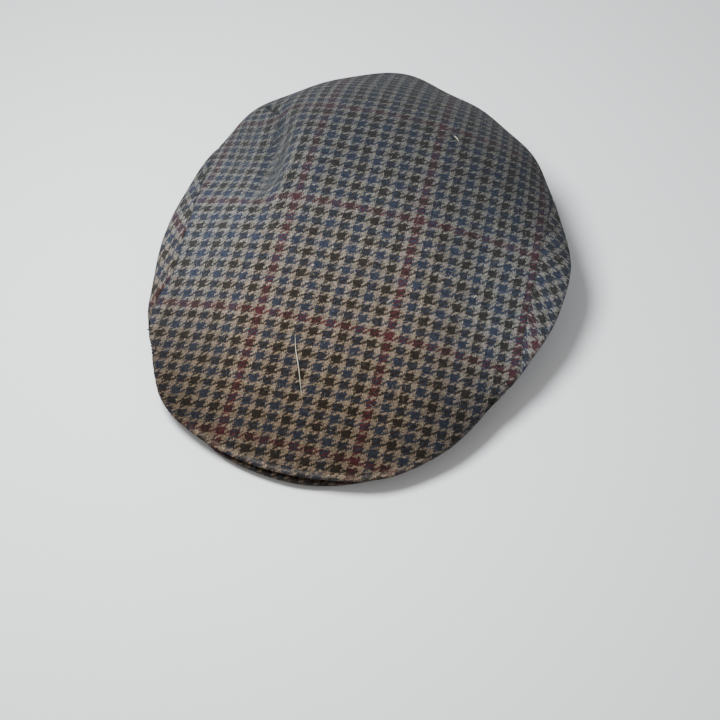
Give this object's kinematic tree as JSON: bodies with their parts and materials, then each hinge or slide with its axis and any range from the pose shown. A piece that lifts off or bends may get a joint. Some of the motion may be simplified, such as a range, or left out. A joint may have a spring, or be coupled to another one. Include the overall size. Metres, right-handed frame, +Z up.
{
  "type": "flat cap",
  "caption": "Flat cap in checked wool tweed: a top panel runs forward over a short cloth-covered peak, and side panels curve in to an open hem.",
  "frame": {"origin": "centre of the cap's outline on the floor it stands on", "axes": "+Z up out of the top, the peak points to -Y, the wearer's left is +X"},
  "size_m": [0.2346, 0.2687, 0.0801],
  "materials": {
    "tweed": "matte woven wool, slightly fuzzy"
  },
  "bodies": {
    "root": {"crown_top": "tweed", "side_right": "tweed", "side_left": "tweed", "peak": "tweed"}
  },
  "joints": []
}
